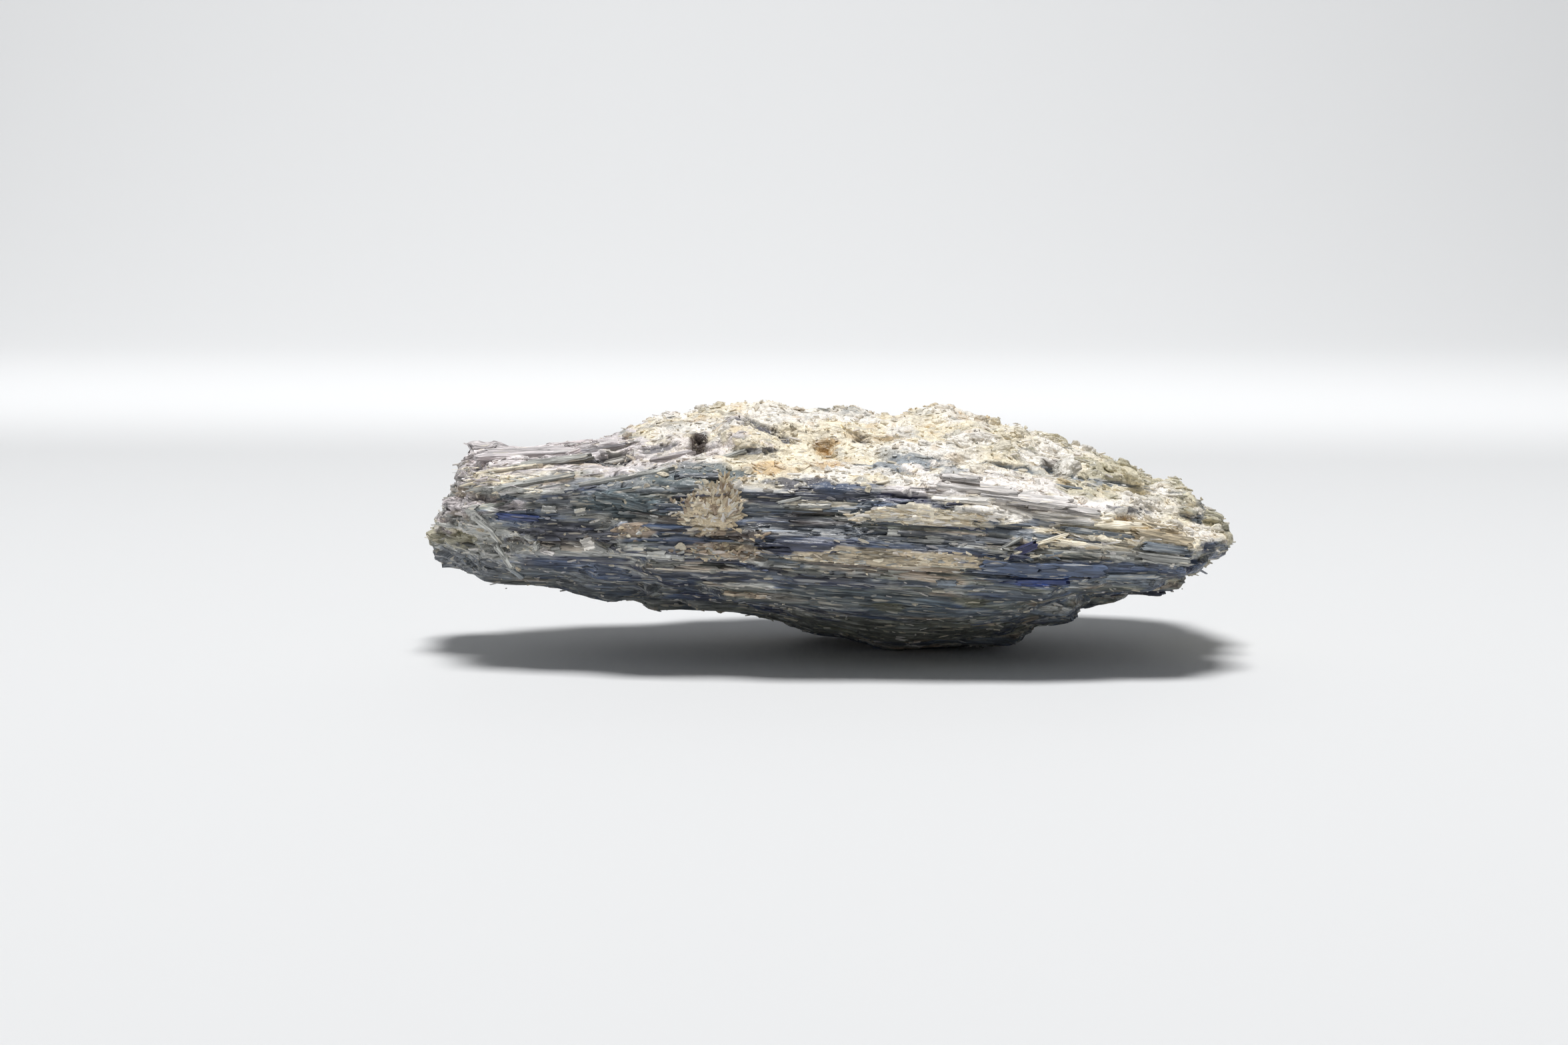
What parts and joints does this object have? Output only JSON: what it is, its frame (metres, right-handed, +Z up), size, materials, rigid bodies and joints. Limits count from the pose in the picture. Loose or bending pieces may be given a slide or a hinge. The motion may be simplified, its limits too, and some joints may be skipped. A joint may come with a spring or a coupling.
{
  "type": "kyanite blade cluster",
  "caption": "Rough kyanite stone of parallel flat blades under a lumpy mica and quartz crust, resting on its keel.",
  "frame": {"origin": "bottom centre of the bounding box, on the surface that the stone rests on", "axes": "+X along the blades to the pointed end, -Y the bladed front, +Z up"},
  "size_m": [0.0799, 0.0472, 0.0247],
  "materials": {
    "kyanite": "muted grey-blue blades with a pearly shine, cream mica and quartz crust on top"
  },
  "bodies": {
    "root": {"kyanite_cluster": "kyanite"}
  },
  "joints": []
}
